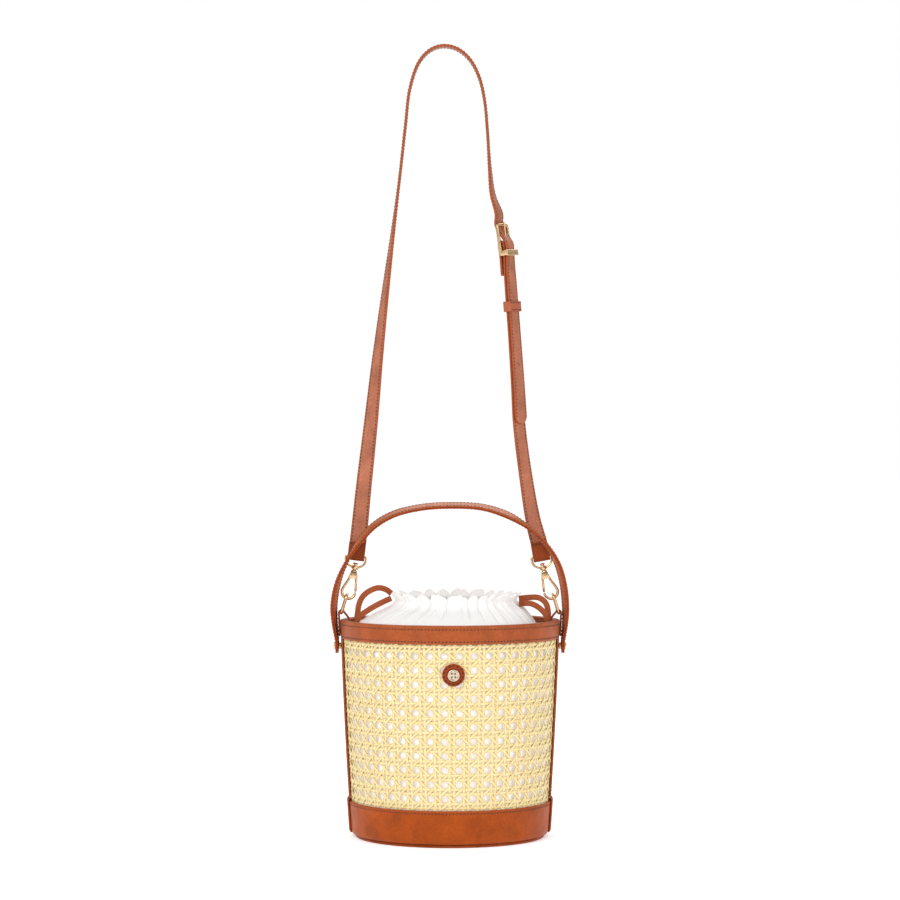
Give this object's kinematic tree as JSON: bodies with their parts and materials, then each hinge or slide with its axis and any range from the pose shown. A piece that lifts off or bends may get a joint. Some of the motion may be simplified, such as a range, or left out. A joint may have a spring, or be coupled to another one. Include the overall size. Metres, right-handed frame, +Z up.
{
  "type": "bucket bag",
  "caption": "Round bucket bag in cane webbing and leather, with a drawstring cotton liner, an arched top handle and a buckled crossbody strap on snap hooks.",
  "frame": {"origin": "centre of the underside of the leather base panel, on the surface the bag stands on", "axes": "+Z up the bag's own axis towards the strap's top; the front with the medallion faces -Y; +X is the side with the buckle"},
  "size_m": [0.2079, 0.1934, 0.691],
  "materials": {
    "base_panel": "smooth grain",
    "base_board": "pressed fibreboard",
    "base_piping": "rolled edge",
    "base_band": "smooth grain",
    "cane_front": "woven cane, matt",
    "cane_back": "woven cane, matt",
    "side_strip_left": "smooth grain",
    "side_strip_right": "smooth grain",
    "rim_band": "smooth grain",
    "rim_hoop": "plain strip",
    "rim_facing": "smooth grain",
    "liner_cup": "plain cotton",
    "liner_collar": "gathered cotton",
    "drawcord_left": "cut lace",
    "drawcord_right": "cut lace",
    "medallion_disc": "stitched edge",
    "medallion_stud": "pale gold plate, polished",
    "medallion_washer": "plain",
    "handle_strap": "stitched edges",
    "handle_lining": "smooth grain",
    "handle_stud_left": "pale gold plate, polished",
    "handle_stud_right": "pale gold plate, polished",
    "handle_washer_left": "plain",
    "handle_washer_right": "plain",
    "ring_tab_left": "smooth grain",
    "ring_tab_right": "smooth grain",
    "ring_left": "pale gold plate, polished",
    "ring_right": "pale gold plate, polished",
    "hook_left": "pale gold plate, polished",
    "hook_right": "pale gold plate, polished",
    "gate_left": "pale gold plate, polished",
    "gate_right": "pale gold plate, polished",
    "strap_loop_left": "pale gold plate, polished",
    "strap_loop_right": "pale gold plate, polished",
    "strap_long": "stitched edges",
    "strap_short": "stitched edges",
    "buckle_frame": "pale gold plate, polished",
    "buckle_tongue": "pale gold plate, polished",
    "keeper": "stitched edges"
  },
  "bodies": {
    "bucket": {"base_panel": "base_panel", "base_board": "base_board", "base_piping": "base_piping", "base_band": "base_band", "cane_front": "cane_front", "cane_back": "cane_back", "side_strip_left": "side_strip_left", "side_strip_right": "side_strip_right", "rim_band": "rim_band", "rim_hoop": "rim_hoop", "rim_facing": "rim_facing", "liner_cup": "liner_cup", "liner_collar": "liner_collar", "drawcord_left": "drawcord_left", "drawcord_right": "drawcord_right", "medallion_disc": "medallion_disc", "medallion_stud": "medallion_stud", "medallion_washer": "medallion_washer", "handle_stud_left": "handle_stud_left", "handle_stud_right": "handle_stud_right", "handle_washer_left": "handle_washer_left", "handle_washer_right": "handle_washer_right", "ring_tab_left": "ring_tab_left", "ring_tab_right": "ring_tab_right"},
    "handle": {"handle_strap": "handle_strap", "handle_lining": "handle_lining"},
    "left_ring": {"ring_left": "ring_left"},
    "right_ring": {"ring_right": "ring_right"},
    "left_link": {"strap_loop_left": "strap_loop_left"},
    "right_link": {"strap_loop_right": "strap_loop_right"},
    "left_hook": {"hook_left": "hook_left"},
    "right_hook": {"hook_right": "hook_right"},
    "left_gate": {"gate_left": "gate_left"},
    "right_gate": {"gate_right": "gate_right"},
    "strap": {"strap_long": "strap_long", "strap_short": "strap_short", "buckle_frame": "buckle_frame"},
    "tongue": {"buckle_tongue": "buckle_tongue"},
    "strap_keeper": {"keeper": "keeper"}
  },
  "joints": [
    {"name": "handle_swing", "type": "hinge", "parent": "bucket", "child": "handle", "pos_m": [0, 0, 0.166], "axis": [1, 0, 0], "range_deg": [0, 100]},
    {"name": "left_ring_tilt", "type": "hinge", "parent": "bucket", "child": "left_ring", "pos_m": [-0.0948, 0, 0.1948], "axis": [0, -1, 0], "range_deg": [-3, 2]},
    {"name": "right_ring_tilt", "type": "hinge", "parent": "bucket", "child": "right_ring", "pos_m": [0.0948, 0, 0.1948], "axis": [0, 1, 0], "range_deg": [-3, 2]},
    {"name": "strap_swing", "type": "hinge", "parent": "bucket", "child": "left_link", "pos_m": [-0.0888, 0, 0.2069], "axis": [1, 0, 0], "range_deg": [-65, 0]},
    {"name": "right_link_swing", "type": "hinge", "parent": "bucket", "child": "right_link", "pos_m": [0.0888, 0, 0.2069], "axis": [1, 0, 0], "range_deg": [-65, 0]},
    {"name": "left_hook_swivel", "type": "hinge", "parent": "left_link", "child": "left_hook", "pos_m": [-0.0888, 0, 0.2069], "axis": [0.1994, 0, 0.9799], "range_deg": [-20, 20]},
    {"name": "right_hook_swivel", "type": "hinge", "parent": "right_link", "child": "right_hook", "pos_m": [0.0888, 0, 0.2069], "axis": [-0.2588, 0, 0.9659], "range_deg": [-20, 20]},
    {"name": "left_gate_press", "type": "hinge", "parent": "left_hook", "child": "left_gate", "pos_m": [-0.08203, 0, 0.22563], "axis": [0, 1, 0], "range_deg": [0, 24], "stiffness_Nm_per_rad": 0.01, "springref_deg": -5.73},
    {"name": "right_gate_press", "type": "hinge", "parent": "right_hook", "child": "right_gate", "pos_m": [0.0809, 0, 0.22518], "axis": [0, -1, 0], "range_deg": [0, 24], "stiffness_Nm_per_rad": 0.01, "springref_deg": -5.73},
    {"name": "strap_fold", "type": "hinge", "parent": "left_link", "child": "strap", "pos_m": [-0.082, 0, 0.2443], "axis": [1, 0, 0], "range_deg": [-25, 8]},
    {"name": "tongue_lift", "type": "hinge", "parent": "strap", "child": "tongue", "pos_m": [0.04759, 0, 0.51654], "axis": [0.4603, 0.8851, 0.0688], "range_deg": [0, 5]},
    {"name": "keeper_slide", "type": "slide", "parent": "strap", "child": "strap_keeper", "axis": [0.0749, 0, -0.9972], "range_m": [-0.009, 0.012]}
  ],
  "couplings": [
    {"joint": "right_link_swing", "follows": "strap_swing", "ratio": 1}
  ]
}
